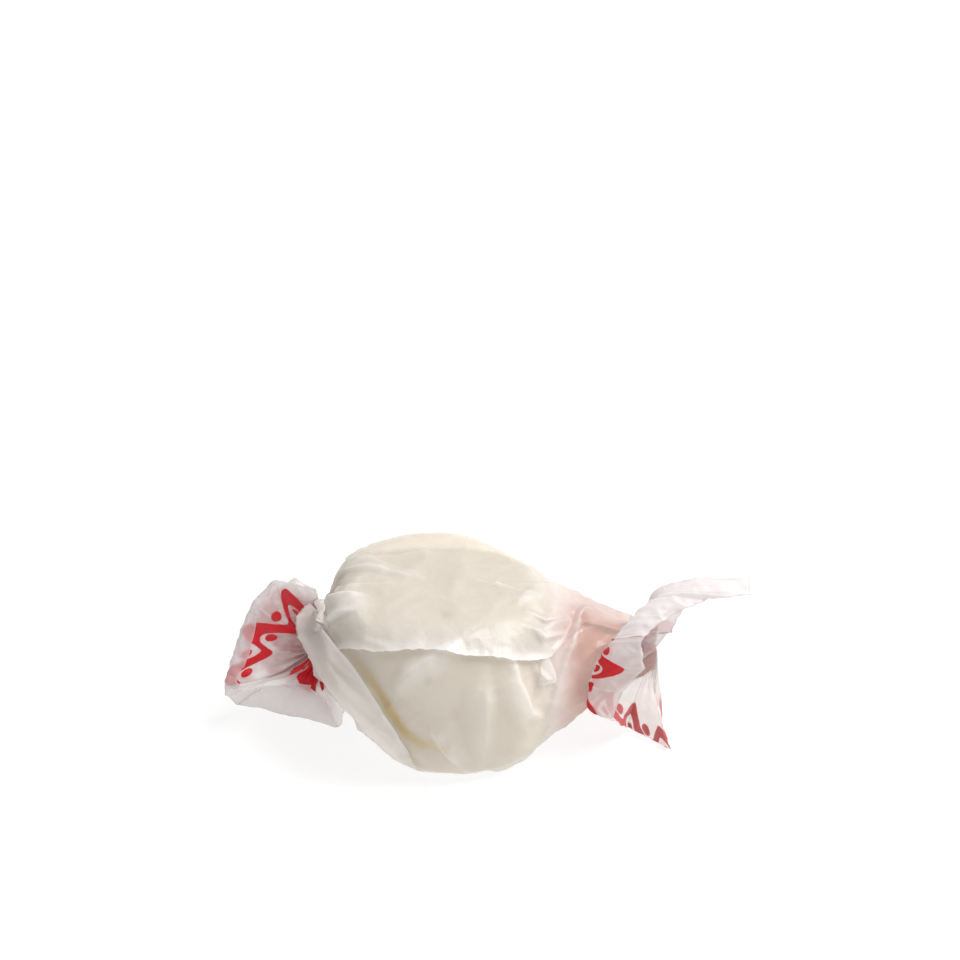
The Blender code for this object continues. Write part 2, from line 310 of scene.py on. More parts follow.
# The pleats that gather the paper into its necks: how many round the axis in two turns, how
# deep as a share of the radius, how far they wind, and their length on each side
PLEATS = 13
PLEAT_DEPTH = 0.24
PLEAT_TURN = 60
LEFT_GATHER = 5.0 * MM
RIGHT_GATHER = 9.0 * MM
GIRTH_RADIUS = 9.5 * MM
PAPER_ALONG = 200
PAPER_AROUND = 450
PROFILE_STEPS = 180
SPAN_STEPS = 12
TURN_STEPS = 180
# Small creases of the paper: how many, the ranges of their distance from the middle, half
# length, width, height and whiteness, and how far they lean, in millimetres and degrees
RUMPLES = 90
RUMPLE_SEED = 11
RUMPLE_MIDDLE = 2
RUMPLE_PLACE = (4, 14)
RUMPLE_REACH = (1.2, 3.6)
RUMPLE_WIDTH = (0.4, 1.6)
RUMPLE_HEIGHT = (0.05, 0.22)
RUMPLE_CRACK = (0.0, 0.25)
RUMPLE_LEAN = 22
# What each corner of the paper carries for its material, besides air gap and pink with its painted
# shade: nearness to the free edge, for its lip and painted sheen, the gutter, for its painted
# shade, white crests, and oily spots
PAPER_MARKS = ("rim_sheen", "groove_shade", "crest", "spot")
PAPER_WHITE = (0.94, 0.925, 0.91, 1.0)
# A dark pink: the printed border wound inside, darkened as painted shade
PAPER_PINK_SHADE = (0.56, 0.28, 0.23, 1.0)
# Where the paper turns pink, in millimetres from the middle, how pink it is on top, and how
# far forward of the top, as a share of the way from the axis, it has its full pink. The pink is
# the printed border wound inside, with painted shade that makes it darker on the front
PINK_FROM = 9.6
PINK_RISE = 3.4
PINK_SHADE_ON_TOP = 0.45
PINK_SHADE_FORWARD = 0.6
PAPER_OILED = (0.74, 0.705, 0.65, 1.0)
# Painted shade: the darker yellow of the paper in the gutter beside the long pleat
GROOVE_SHADE_YELLOW = (0.66, 0.47, 0.11, 1.0)
OIL_SPOT = (0.60, 0.54, 0.46, 1.0)
PAPER_GLOW = (0.92, 0.90, 0.88, 1.0)
PAPER_CLEAR = (1.0, 0.99, 0.97, 1.0)
# Grain in waves a metre: the paper's clouds, its fibres, and the crumpling of its wax
PAPER_CLOUDS = 420.0
PAPER_FIBRES = 5200.0
WAX_FACETS = (330.0, 900.0)
WAX_DEPTH = 0.1 * MM
# Millimetres of air under the paper: up to the first it looks oiled, and from the second white
AIR_GAP = (0.10, 0.85)
# How much the paper mirrors, how rough its wax is, and how much its clouds roughen it
PAPER_MIRROR = 0.35
WAX_ROUGHNESS = 0.14
CLOUD_ROUGHNESS = 0.2
# How much of the candy the paper hides where it clings, and what air under it and cracks add
WRAPPER_COVER = 0.62
AIR_COVER = 0.14
CRACK_COVER = 0.22
WRAPPER_ROUGHNESS = 0.26
WRAPPER_COAT = 0.4
WRAPPER_LIGHT = 0.45


def neck_radius(size, angle):
    """Radius of an oval neck at an angle round the twist axis."""
    return 1 / math.hypot(math.cos(angle) / size[0], math.sin(angle) / size[1])


def lump_profile(angle):
    """Half outline of the candy, as x and distance from the axis, in the plane at an angle."""
    swing = np.linspace(math.pi, 0, PROFILE_STEPS)
    across = np.stack([np.sin(swing) * math.cos(angle), np.sin(swing) * math.sin(angle)], axis=1)
    reach = lump_reach(np.column_stack([np.cos(swing), across]))
    return np.stack([reach * np.cos(swing), reach * np.sin(swing)], axis=1)


def turns_left(first, second, third):
    """Whether an outline turns left at the second of three points, or runs straight on."""
    ahead, beyond = second - first, third - second
    return ahead[0] * beyond[1] - ahead[1] * beyond[0] >= 0


def taut_profile(angle):
    """The shortest way from neck to neck over the candy, in the plane at an angle."""
    left = np.array([LEFT_NECK, neck_radius(LEFT_NECK_SIZE, angle)])
    right = np.array([RIGHT_NECK, neck_radius(RIGHT_NECK_SIZE, angle)])
    taut = [left]
    for point in [*lump_profile(angle), right]:
        while len(taut) > 1 and turns_left(taut[-2], taut[-1], point):
            taut.pop()
        taut.append(point)
    return np.array(taut)


def slack_profile(angle):
    """The taut way with its two free spans drawn in a little by the twist."""
    taut = taut_profile(angle)
    steps = np.linspace(0, 1, SPAN_STEPS)[:, None]
    spans = []
    for start, end in ((taut[0], taut[1]), (taut[-2], taut[-1])):
        span = start + (end - start) * steps
        span[:, 1] *= 1 - SLACK * (4 * steps * (1 - steps))[:, 0]
        spans.append(span)
    return np.concatenate([spans[0], taut[2:-2], spans[1]])


def paper_path(angle):
    """Points evenly spaced from neck to neck, the outward direction at each, and how far
    each lies along the paper from the candy's middle."""
    path = slack_profile(angle)
    strides = np.linalg.norm(np.diff(path, axis=0), axis=1)
    length = np.concatenate([[0], np.cumsum(strides)])
    wanted = np.linspace(0, length[-1], PAPER_ALONG)
    points = np.stack([np.interp(wanted, length, path[:, i]) for i in (0, 1)], axis=1)
    ahead = np.gradient(points, axis=0)
    outward = np.stack([-ahead[:, 1], ahead[:, 0]], axis=1)
    outward /= np.linalg.norm(outward, axis=1, keepdims=True)
    middle = np.interp(0, path[:, 0], length)
    return np.column_stack([points, outward, wanted - middle])


def bare_paper(paths, degrees):
    """Points, outward directions and places along the paper, at one turn for each row."""
    place = (degrees % 360) / 360 * TURN_STEPS
    low = np.floor(place).astype(int)
    share = (place - low)[:, None]
    rows = np.arange(PAPER_ALONG)
    return paths[low, rows] * (1 - share) + paths[low + 1, rows] * share


def wobble(places, size, seed):
    """Smooth noise down a line of places, in waves of a size."""
    return np.array([noise.noise(Vector((place / size, seed, 0))) for place in places])


def free_edge(along):
    """The turn round the axis at which the outer edge of the paper lies."""
    places, turns = zip(*FREE_EDGE)
    ragged = sum(deep * wobble(along, size * MM, RAGGED_SEED) for size, deep in EDGE_RAGGED)
    return np.interp(along / MM, places, turns) + ragged


def on_girth(degrees):
    """A turn round the axis as millimetres round the girth of the pack."""
    return np.radians(degrees) * GIRTH_RADIUS / MM


def turn_from(start, degrees):
    """The shorter way round the axis from one turn to another."""
    return (degrees - start + 180) % 360 - 180


def from_spot(along, degrees, place, turn, reach):
    """How far places on the paper are from a spot, as shares of its reach."""
    return np.hypot(along / MM - place, on_girth(turn_from(turn, degrees))) / reach


def beside_course(here, course):
    """Of points of the paper: their distance from a course, whether they lie on its left, and
    how far down the course its nearest point is, from 0 to 1."""
    legs = len(course) - 1
    distance = np.full(here.shape[1], np.inf)
    left = np.zeros(here.shape[1], dtype=bool)
    down = np.zeros(here.shape[1])
    for leg in range(legs):
        ahead = course[leg + 1] - course[leg]
        offset = here - course[leg][:, None]
        share = np.clip(ahead @ offset / (ahead @ ahead), 0, 1)
        gap = offset - ahead[:, None] * share
        closer = np.hypot(*gap) < distance
        distance = np.where(closer, np.hypot(*gap), distance)
        left = np.where(closer, ahead[0] * gap[1] > ahead[1] * gap[0], left)
        down = np.where(closer, (leg + share) / legs, down)
    return distance, left, down


def beside_crease(along, degrees, course):
    """What beside_course says of places on the paper, at the turn nearest to the course."""
    places, turns = np.array(course, dtype=float).T
    middle = turns.mean()
    near = turn_from(middle, degrees) + middle
    here = np.stack([along / MM, on_girth(near)])
    return beside_course(here, np.column_stack([places, on_girth(turns)]))


def ridge(along, degrees, crease):
    """Height of one crease, lower at its ends, and how white its crest is."""
    course, rise, widths, crack = crease
    distance, left, down = beside_crease(along, degrees, course)
    width = np.where(left, widths[0], widths[1])
    fade = np.sqrt(np.sin(math.pi * np.clip(down, CREASE_END, 1 - CREASE_END)))
    height = rise * MM * fade * np.maximum(0, 1 - distance / width) ** CREASE_SHARPNESS
    return height, crack * fade * np.exp(-((distance / CREST_WIDTH) ** 2))


def rumples():
    """Many small creases in the paper, most of them running towards the twists."""
    draw = np.random.default_rng(RUMPLE_SEED)
    made = []
    for _ in range(RUMPLES):
        place = draw.choice([-1, 1]) * draw.uniform(*RUMPLE_PLACE) + RUMPLE_MIDDLE
        turn = draw.uniform(0, 360)
        lean = draw.normal(0, RUMPLE_LEAN)
        reach = draw.uniform(*RUMPLE_REACH)
        swing = lean * reach / 4
        course = ((place - reach, turn - swing), (place + reach, turn + swing))
        widths = (draw.uniform(*RUMPLE_WIDTH), RUMPLE_WIDTH[0])
        made.append((course, draw.uniform(*RUMPLE_HEIGHT), widths, draw.uniform(*RUMPLE_CRACK)))
    return made


def billow_height(along, degrees):
    """Height of the loose billow, round as a cushion."""
    place, turn, reach, rise = BILLOW
    gap = from_spot(along, degrees, place, turn, reach)
    return rise * MM * np.cos(np.minimum(1, gap) * math.pi / 2) ** 2


def crumple(points, sizes):
    """Creased panels as of crumpled film: sharp crests with hollows between them."""
    height = np.zeros(len(points))
    for size, depth, shift in sizes:
        for i, point in enumerate(points):
            spot = Vector(point) / (size * MM) + Vector((shift, 0, 0))
            height[i] -= depth * MM * abs(noise.noise(spot))
    return height


def relief(along, degrees, creases):
    """Height of every crease over the paper, and how white it is along their crests."""
    main = np.array([ridge(along, degrees, crease) for crease in CREASES])
    small = np.array([ridge(along, degrees, crease) for crease in creases])
    height = main[:, 0].max(axis=0) + small[:, 0].sum(axis=0) + billow_height(along, degrees)
    return height, np.maximum(main[:, 1].max(axis=0), small[:, 1].max(axis=0))


def gutter(along, degrees):
    """1 in the middle of the gutter beside the long pleat, where the paper dips and its painted
    shade is darkest, else 0.
    """
    distance, _, down = beside_crease(along, degrees, GUTTER)
    side = np.maximum(0, 1 - (distance / GUTTER_WIDTH) ** 2)
    return side * np.sqrt(np.sin(math.pi * np.clip(down, GUTTER_END, 1 - GUTTER_END)))


def oily(along, degrees):
    """1 on the oily spots of the paper, else 0."""
    shade = np.zeros(len(along))
    for spot in SPOTS:
        gap = from_spot(along, degrees, *spot)
        shade = np.maximum(shade, np.exp(-(gap**SPOT_SHARPNESS)))
    return shade


def layers(degrees, edge):
    """Height of the paper over the candy, which rises where it runs over its own start."""
    over = np.clip((degrees - 360 - LAP_START + LAP_EARLY) / LAP_RAMP, 0, 1)
    curl = np.clip(1 - (edge - degrees) / CURL_TURN, 0, 1) ** 2
    return CLING + LAP_LIFT * over + EDGE_CURL * curl


def gathers(along, degrees):
    """Depth of the pleats that run into the two necks and wind round them."""
    left = 1 - (along - along[0]) / LEFT_GATHER
    right = 1 - (along[-1] - along) / RIGHT_GATHER
    near = np.clip(np.maximum(left, right), 0, 1)
    phase = np.radians(degrees + PLEAT_TURN * near) * PLEATS / 2
    return PLEAT_DEPTH * near * np.abs(np.sin(phase))


def paper_column(paths, column, creases):
    """One column of the wound sheet: points from neck to neck, then for each how near it is
    to the sheet's outer edge, for its lip and painted sheen, how deep in the gutter, for its dip
    and painted shade, how white along a crest, and how oily."""
    share = column / PAPER_AROUND
    even = np.full(PAPER_ALONG, LAP_START + share * (EDGE_MIDDLE + 360 - LAP_START))
    along = bare_paper(paths, even)[:, 4]
    edge = free_edge(along) + 360
    degrees = LAP_START + share * (edge - LAP_START)
    bare = bare_paper(paths, degrees)
    angle = np.radians(degrees)
    level = np.column_stack([bare[:, 0], bare[:, 1] * np.cos(angle), bare[:, 1] * np.sin(angle)])
    rise, crest = relief(along, degrees, creases)
    # The gutter both dips the paper and marks where its painted shade goes
    sunk = gutter(along, degrees)
    off_flat = np.clip(np.abs(along / MM - FLAT_MIDDLE) / FLAT_REACH, 0, 1) ** 2
    loose = FLAT_CRUMPLED + (1 - FLAT_CRUMPLED) * off_flat
    panels = loose * (crumple(level, PAPER_PANELS) + PANEL_LIFT)
    height = layers(degrees, edge) + rise + panels - GUTTER_DEPTH * MM * sunk
    height = np.maximum(height, CLOSEST)
    x = bare[:, 0] + bare[:, 2] * height
    radius = (bare[:, 1] + bare[:, 3] * height) * (1 - gathers(along, degrees))
    z = np.maximum(AXIS_HEIGHT + radius * np.sin(angle), PAPER_FLOOR)
    # Whiter towards the free edge: partly its lip, partly a painted sheen
    rim_sheen = np.exp(-on_girth(edge - degrees) / RIM_SHEEN_REACH)
    spot = oily(along, degrees)
    return np.column_stack([x, radius * np.cos(angle), z, rim_sheen, sunk, crest, spot])


def paper_paths():
    return np.array([paper_path(2 * math.pi * i / TURN_STEPS) for i in range(TURN_STEPS + 1)])


def paper_sheet(paths, creases):
    """The wound sheet as an array of columns, rows and (x, y, z, rim, groove, crest, spot)."""
    return np.array([paper_column(paths, i, creases) for i in range(PAPER_AROUND + 1)])


def sheet_shape(sheet, names):
    """A bmesh grid laid on an array of columns and rows of points, with the grid's own UV.
    What follows x, y and z in the array goes into attributes of the given names."""
    columns, rows = sheet.shape[0] - 1, sheet.shape[1] - 1
    shape = bmesh.new()
    shape.loops.layers.uv.new("paper")
    bmesh.ops.create_grid(shape, x_segments=columns, y_segments=rows, size=0.5, calc_uvs=True)
    marks = [shape.verts.layers.float.new(name) for name in names]
    for corner in shape.verts:
        column = round((corner.co.x + 0.5) * columns)
        row = round((corner.co.y + 0.5) * rows)
        corner.co = sheet[column, row, :3]
        for mark, value in zip(marks, sheet[column, row, 3:]):
            corner[mark] = value
    return shape


def lay_uv(shape, sheet_uv):
    """Turns the grid's own UV into millimetres of paper, by an array of columns and rows."""
    columns, rows = sheet_uv.shape[0] - 1, sheet_uv.shape[1] - 1
    layer = shape.loops.layers.uv.active
    for face in shape.faces:
        for loop in face.loops:
            column = round(loop[layer].uv.x * columns)
            row = round(loop[layer].uv.y * rows)
            loop[layer].uv = sheet_uv[column, row]


def air_gap(points):
    """How far each point of the paper stands off the candy."""
    offset = points - np.array([0, 0, AXIS_HEIGHT])
    distance = np.linalg.norm(offset, axis=1)
    return distance - lump_reach(offset / distance[:, None])


def paper_surface(start, colour, coverage, bump, roughness, coat, light, glow_colour):
    """Waxed paper: it mirrors a little, glows with a share of the light behind it, and shows
    what is behind it where it isn't covered."""
    face = start.make(
        "ShaderNodeBsdfPrincipled",
        {
            "Base Color": colour,
            "Roughness": roughness,
            "Normal": bump,
            "Specular IOR Level": PAPER_MIRROR,
            "Coat Weight": coat,
            "Coat Roughness": WAX_ROUGHNESS,
        },
    )
    glow = start.make("ShaderNodeBsdfTranslucent", {"Color": glow_colour, "Normal": bump})
    sheet = start.make("ShaderNodeMixShader", {0: light, 1: face, 2: glow})
    clear = start.make("ShaderNodeBsdfTransparent", {"Color": PAPER_CLEAR})
    surface = start.make("ShaderNodeMixShader", {0: coverage, 1: clear, 2: sheet})
    start.make("ShaderNodeOutputMaterial", {"Surface": surface})


def paper_bump(start, place):
    """Fine crumpling of the paper over its fibres."""
    fibre = place.grain(PAPER_FIBRES, detail=4.0, roughness=0.65)
    broad, fine = (place.facets(waves) for waves in WAX_FACETS)
    height = broad.lesser(0.25) * 2.0 + fine.lesser(0.2) + fibre * 0.25
    return start.make("ShaderNodeBump", {"Strength": 0.7, "Distance": WAX_DEPTH, "Height": height})


def wrapper_material():
    """Paper over candy: clear where it clings, whiter where air lies under it or its wax has
    cracked, with a painted sheen near its free edge and painted shade in the gutter, and pink
    towards the right twist, where the printed border is wound inside, with painted shade that
    is darker on the front."""
    material, start = new_material("waxed_paper")
    place = start.make("ShaderNodeTexCoord", {}, output="Object")
    gap, pink_and_shade = start.mark("gap"), start.mark("pink_and_shade")
    rim_sheen, groove_shade, crest, spot = (start.mark(name) for name in PAPER_MARKS)
    cloud = place.grain(PAPER_CLOUDS)
    # Whiter along cracked crests and towards the free edge, where a sheen is painted in
    white = (rim_sheen * rim_sheen).greater(crest)
    off = (gap + (cloud - 0.5) * 0.2).rise(*AIR_GAP).greater(white).greater(rim_sheen * 0.9)
    paper = off.tint(PAPER_OILED, PAPER_WHITE)
    blushed = (pink_and_shade * (0.6 + 0.8 * cloud) * (1 - 0.6 * crest)).tint(paper, PAPER_PINK_SHADE)
    # Painted shade: darker yellow in the gutter
    colour = (spot * 0.5).tint(groove_shade.tint(blushed, GROOVE_SHADE_YELLOW), OIL_SPOT)
    cracked = white.greater(pink_and_shade).greater(groove_shade)
    coverage = WRAPPER_COVER + AIR_COVER * off + CRACK_COVER * cracked
    rough = WRAPPER_ROUGHNESS + CLOUD_ROUGHNESS * cloud
    bump = paper_bump(start, place)
    paper_surface(start, colour, coverage, bump, rough, WRAPPER_COAT, WRAPPER_LIGHT, PAPER_GLOW)
    return material


def set_attribute(piece, name, values):
    """A number for each corner of the piece, under a name that its material reads."""
    layer = piece.data.attributes.new(name, "FLOAT", "POINT")
    layer.data.foreach_set("value", np.ascontiguousarray(values, dtype=np.float32))


paths = paper_paths()
creases = rumples()
wrapper_shape = sheet_shape(paper_sheet(paths, creases), PAPER_MARKS)
wrapper = new_piece("paper_round_candy", wrapper_shape, [wrapper_material()])
corners = np.array([corner.co for corner in wrapper.data.vertices])
set_attribute(wrapper, "gap", air_gap(corners) / MM)
# The pink with its painted shade is strongest on the front and weaker on the top
forward_share = -corners[:, 1] / np.hypot(corners[:, 1], corners[:, 2] - AXIS_HEIGHT)
pink_shade_share = np.interp(forward_share, (0, PINK_SHADE_FORWARD), (PINK_SHADE_ON_TOP, 1))
pink_reach = np.clip((corners[:, 0] / MM - PINK_FROM) / PINK_RISE, 0, 1)
set_attribute(wrapper, "pink_and_shade", pink_shade_share * pink_reach)
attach(wrapper, "root")
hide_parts("wrapped_taffy")

# The long pleat: a flat fold of the same paper that leaves the left twist, stands up as a
# collar round it, and lies down over the front of the candy to its foot.
FLAP_ROWS = 90
FLAP_COLUMNS = 20
# Of a flap: the part of its length between its rounded ends, the shares of its length that
# its foot takes and of its width that its white crest takes, its least height over the
# paper, and how pink it is near the left twist and from where, all lengths in millimetres
FLAP_ENDS = (0.04, 0.98)
FLAP_ROUNDNESS = 0.4
FLAP_FOOT = 0.18
FLAP_CREST = 0.08
FLAP_CLEARANCE = 0.06
FLAP_PINK = 0.25
FLAP_PINK_FROM = -6
FLAP_PINK_RISE = 4
PLEAT_LEFT = (
    (-12.6, 92), (-13.9, 112), (-14.0, 132), (-12.9, 158), (-10.9, 172), (-9.2, 184),
    (-7.0, 194), (-5.2, 201), (-3.2, 206), (-0.6, 208),
)
PLEAT_RIGHT = (
    (-11.4, 90), (-10.9, 114), (-9.9, 135), (-8.6, 145), (-7.2, 152), (-6.0, 161),
    (-4.3, 175), (-3.3, 184), (-2.4, 194), (-1.6, 207),
)


def on_paper(paths, along, degrees, height):
    """The point at a height over a place on the paper."""
    place = (degrees % 360) / 360 * TURN_STEPS
    low = int(place)
    path = paths[low] * (1 - place + low) + paths[low + 1] * (place - low)
    x, radius, ahead, away = (np.interp(along, path[:, 4], path[:, i]) for i in range(4))
    radius += away * height
    angle = math.radians(degrees)
    return x + ahead * height, radius * math.cos(angle), AXIS_HEIGHT + radius * math.sin(angle)


def smooth_course(course, steps):
    """Places evenly down a course, with its corners rounded off."""
    course = np.array(course, dtype=float)
    place = np.linspace(0, len(course) - 1, steps)
    lines = [np.interp(place, range(len(course)), course[:, i]) for i in (0, 1)]
    kernel = np.hanning(2 * (steps // len(course)) + 1)[1:-1]
    reach = len(kernel) // 2
    rounded = []
    for line in lines:
        head = 2 * line[0] - line[reach:0:-1]
        tail = 2 * line[-1] - line[-2:-reach - 2:-1]
        longer = np.concatenate([head, line, tail])
        rounded.append(np.convolve(longer, kernel / kernel.sum(), "valid"))
    return np.stack(rounded, axis=1)


def make_flap(name, left, right, lift, curl):
    """A fold of the paper that lies on it from its left course to its right one, where it
    stands up by the lift and, past that, bends over by the curl."""
    left, right = smooth_course(left, FLAP_ROWS), smooth_course(right, FLAP_ROWS)
    sheet = np.zeros((FLAP_COLUMNS, FLAP_ROWS, 3 + len(PAPER_MARKS)))
    down = np.linspace(0, 1, FLAP_ROWS)
    ends = np.sin(math.pi * np.clip(down, *FLAP_ENDS)) ** FLAP_ROUNDNESS
    ends = ends * np.minimum(1, (1 - down) / FLAP_FOOT)
    for i, share in enumerate(np.linspace(0, 1, FLAP_COLUMNS)):
        along, turns = (left + (right - left) * share).T
        along = along * MM
        rise, _ = relief(along, turns, creases)
        stands = lift * np.sin(share * math.pi * (0.5 + curl)) * ends
        height = CLING + LAP_LIFT + rise + (stands + FLAP_CLEARANCE) * MM
        for j in range(FLAP_ROWS):
            sheet[i, j, :3] = on_paper(paths, along[j], turns[j], height[j])
        sheet[i, :, 3 + PAPER_MARKS.index("crest")] = np.exp(-((1 - share) / FLAP_CREST) ** 2)
    shape = sheet_shape(sheet, PAPER_MARKS)
    bmesh.ops.recalc_face_normals(shape, faces=shape.faces)
    flap = new_piece(name, shape, [wrapper.data.materials[0]])
    spots = np.array([corner.co for corner in flap.data.vertices])
    set_attribute(flap, "gap", air_gap(spots) / MM)
    near_twist = np.clip((FLAP_PINK_FROM - spots[:, 0] / MM) / FLAP_PINK_RISE, 0, 1)
    set_attribute(flap, "pink_and_shade", FLAP_PINK * near_twist)
    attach(flap, "root")
    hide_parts("wrapped_taffy")


make_flap("long_pleat", PLEAT_LEFT, PLEAT_RIGHT, lift=0.75, curl=0.12)
make_flap(
    "collar_curl",
    ((-11.6, 84), (-10.8, 98), (-10.2, 110), (-10.0, 122), (-10.2, 132)),
    ((-11.2, 80), (-10.0, 94), (-9.2, 108), (-9.2, 120), (-9.9, 132)),
    lift=0.8,
    curl=0.35,
)
make_flap(
    "corner_flap",
    ((10.0, 150), (9.7, 156), (9.5, 162), (9.6, 168)),
    ((10.5, 150), (11.0, 158), (11.3, 164), (11.4, 169)),
    lift=0.22,
    curl=0.1,
)

# The two fans: past each twist the ends of the sheet spring open into a ring of folds. Each
# fold runs on its own curve from the neck to the cut edge, and the paper is stretched from
# one fold to the next, with small pleats that die out away from the neck.
NECK_SHARE = 0.7
RAY_ROWS = 56
PANEL_COLUMNS = 16
PANEL_BULGE = 0.04
PAPER_THICKNESS = 0.045 * MM
# The pleats from the neck: how many in a panel, their depth, the share of the way on which
# they deepen, and how fast they die out after it
FAN_PLEATS = 2.0
FAN_PLEAT_DEPTH = 0.42 * MM
FAN_PLEAT_START = 0.15
FAN_PLEAT_FADE = 3.0
FAN_PANELS = ((2.7, 0.50, 0.0), (1.1, 0.24, 7.0))
FAN_FLOOR = 0.10 * MM
FOLD_CREST = 0.5
# How ragged the cut edge is, the size of its waves in millimetres, and how white it is
RAGGED = 0.20 * MM
RAGGED_SIZE = 0.7
RAGGED_FADE = 6
EDGE_WHITE = 0.15
# Where what is turned under changes by more than this, it does so at once, in millimetres
TURNED_OVER = 4.0
# The paper counts as double, and lets less light through, where more than this is turned under
DOUBLED = (5.4, 7.0)
# How tightly the twist draws each fold to the axis, and on what share of its way
NECK_PINCH = 0.995
PINCH_SHARE = 0.05
POLE = 0.03 * MM
SEAM = 1e-4 * MM
# Each fold: its turn round the axis, then how far out along the axis and how far away from
# it the middle and the tip are, and how much paper is turned under at the tip, in millimetres
LEFT_FOLDS = (
    (90, (-0.3, 3.8), (-0.3, 6.4), 1.0),
    (80, (1.9, 3.6), (3.4, 6.8), 1.4),
    (84, (3.0, 2.6), (5.4, 5.0), 1.2),
    (180, (4.6, 0.6), (7.4, 1.0), 2.6),
    (223, (4.4, 2.6), (8.0, 3.2), 3.2),
    (227, (4.4, 2.8), (8.0, 3.4), -4.0),
    (262, (4.6, 3.4), (8.2, 4.6), -3.6),
    (276, (3.8, 3.6), (7.2, 6.6), -3.0),
    (262, (1.6, 3.8), (3.0, 6.7), -1.0),
    (246, (-0.9, 4.6), (-2.2, 7.2), 0.0),
    (262, (-1.2, 4.2), (-2.6, 6.2), 0.0),
    (285, (0.0, 3.8), (-0.4, 6.0), 0.0),
    (310, (2.0, 3.6), (3.2, 7.0), 0.0),
    (345, (3.4, 2.6), (6.3, 5.2), 0.0),
    (20, (3.2, 2.6), (5.2, 4.8), 0.0),
    (62, (1.2, 3.4), (1.8, 6.4), 0.0),
)
RIGHT_FOLDS = (
    (90, (0.6, 6.8), (8.3, 7.6), 7.5),
    (103, (0.4, 6.9), (8.4, 7.2), 7.5),
    (108, (-0.8, 6.7), (4.4, 7.1), 7.5),
    (122, (-2.4, 6.4), (1.2, 7.4), 7.5),
    (134, (-3.7, 6.0), (-0.8, 7.8), 7.5),
    (140, (-4.2, 5.9), (-1.5, 8.0), 1.0),
    (158, (-5.3, 5.6), (-1.2, 8.2), 1.0),
    (176, (-5.9, 5.6), (-3.1, 7.6), 1.2),
    (192, (-6.0, 6.0), (-4.0, 8.6), 1.4),
    (243, (-1.6, 4.4), (-2.3, 7.2), 4.6),
    (226, (0.2, 5.2), (1.4, 9.2), 5.0),
    (262, (0.6, 3.8), (0.6, 6.6), 4.6),
    (290, (-0.3, 3.6), (-0.3, 4.7), 0.0),
    (318, (-1.0, 4.0), (-1.7, 6.5), 0.0),
    (345, (-0.2, 3.8), (-0.2, 6.0), 0.0),
    (20, (0.6, 3.8), (1.8, 6.6), 0.0),
    (60, (0.8, 4.4), (5.6, 5.6), 1.5),
)
# The inner layer of the same sheet, crumpled up inside the right fan
INNER_FOLDS = (
    (80, (-0.6, 3.0), (2.6, 4.0), 0.0),
    (105, (-1.2, 2.0), (1.5, 2.6), 0.0),
    (125, (-1.6, 3.2), (1.2, 4.3), 0.0),
    (150, (-2.2, 2.2), (-0.2, 2.6), 0.0),
    (170, (-2.9, 3.0), (-2.4, 4.0), 0.0),
    (195, (-2.6, 2.0), (-2.6, 2.6), 0.0),
    (220, (-2.6, 2.8), (-3.0, 3.4), 0.0),
    (260, (-2.0, 1.8), (-2.2, 2.4), 0.0),
    (300, (-1.4, 2.6), (-1.0, 4.0), 0.0),
    (345, (-1.2, 2.0), (-0.2, 2.8), 0.0),
    (20, (-0.8, 2.8), (0.8, 4.4), 0.0),
    (50, (-0.8, 2.0), (1.0, 3.0), 0.0),
)
# The printed border: a bold wave with a dot in each of its bends, at a constant distance from
# the cut edge, in millimetres of paper
BORDER_SWING = 1.35
BORDER_WAVE = 4.4
BORDER_PEN = 0.33
BORDER_SWELL = 0.48
BORDER_DOT = 0.50
DOT_PLACE = 0.45
# The wave's slope makes its stroke look wider, and this narrows it again
WAVE_LEAN = 0.72
INK_EDGE = 0.03
# The blush of the ink wound inside, made darker as painted shade of what lies behind: its start
# and its full strength, in millimetres before the middle of the border
BLUSH_BAND = (3.8, 1.4)
FAN_MARKS = ("crest", "doubled")
PRINT_RED = (0.66, 0.0, 0.010, 1.0)
FAN_WHITE = (0.91, 0.885, 0.888, 1.0)
# A dark pink: the ink seen through the paper, with painted shade of what lies behind
FAN_PINK_SHADE = (0.56, 0.30, 0.31, 1.0)
FAN_GLOW = (0.89, 0.862, 0.868, 1.0)
# How much of what is behind it the paper of a fan hides, on its printed side and seen from
# behind, where its ink is weaker, and what clouds, blush, white crests and doubling add
PRINTED_COVER = 0.60
BEHIND_COVER = 0.20
BEHIND_INK = 0.8
CLOUD_COVER = 0.16
BLUSH_COVER = 0.12
CREST_COVER = 0.25
DOUBLED_COVER = 0.32
# The share of light that it lets through, what ink and blush take from that, its finish, and
# how much of its gloss the ink takes
FAN_LIGHT = 0.64
INK_SHADE = 0.59
BLUSH_SHADE = 0.44
FAN_ROUGHNESS = 0.34
FAN_COAT = 0.25
INK_DULL = 0.22
# The cut edge of the left fan is turned over on to its front: the folds between which it is,
# and how wide it is at each fold
HEM_FOLDS = (1, 9)
HEM_WIDTHS = (0.3, 0.8, 1.6, 1.1, 1.5, 2.6, 3.0, 3.2, 2.9)
HEM_ROWS = 14
HEM_LIFT = 0.22 * MM
HEM_CURL = 0.16 * MM
HEM_RISE = 0.35
HEM_RAGGED = 0.16
HEM_RAGGED_SIZE = 1.1
HEM_SEED = 4.4
HEM_WHITE = 0.12
HEM_COVER = 0.80
HEM_BLUSH = 0.3


